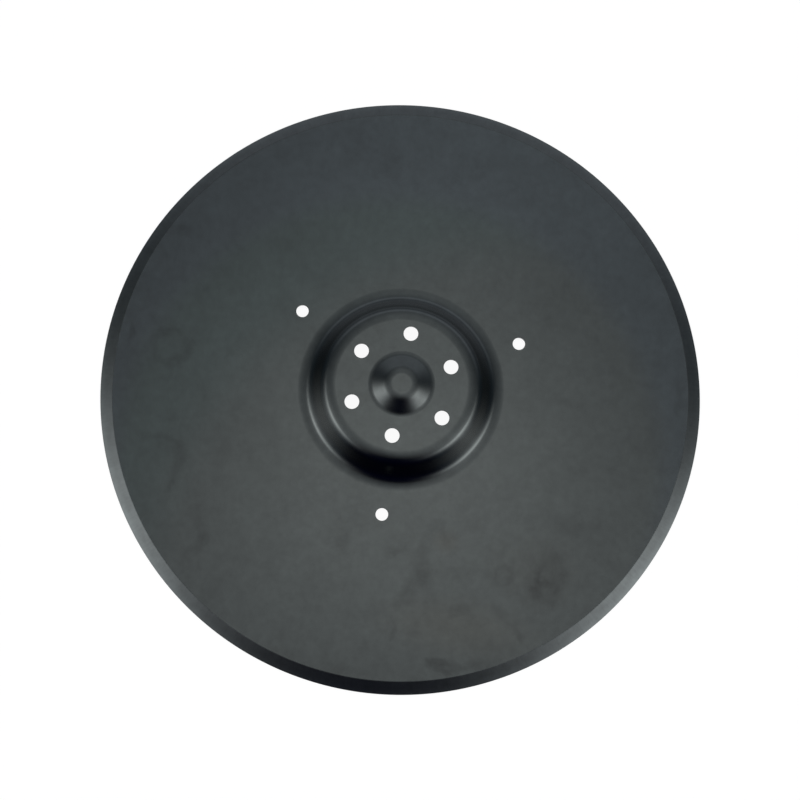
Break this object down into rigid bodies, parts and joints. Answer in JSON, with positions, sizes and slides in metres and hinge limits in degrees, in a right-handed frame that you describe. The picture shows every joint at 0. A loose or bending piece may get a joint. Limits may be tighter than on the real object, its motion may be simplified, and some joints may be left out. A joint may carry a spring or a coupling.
{
  "type": "coulter disc",
  "caption": "Round coulter disc of hardened sheet with a raised hub cup, bolt holes and a bevelled cutting edge.",
  "frame": {"origin": "on the disc's axis, in the plane of the blade's back face, which is the floor when the disc lies on it", "axes": "+Z along the disc's axis, out of the side on which the hub cup stands up; +X and +Y lie in the blade's plane, with one of the three outer holes on -Y"},
  "size_m": [0.3999, 0.4, 0.0258],
  "materials": {
    "coated_steel": "thin satin dark grey coating over hardened steel sheet"
  },
  "bodies": {
    "root": {"coulter_disc": "coated_steel"}
  },
  "joints": []
}
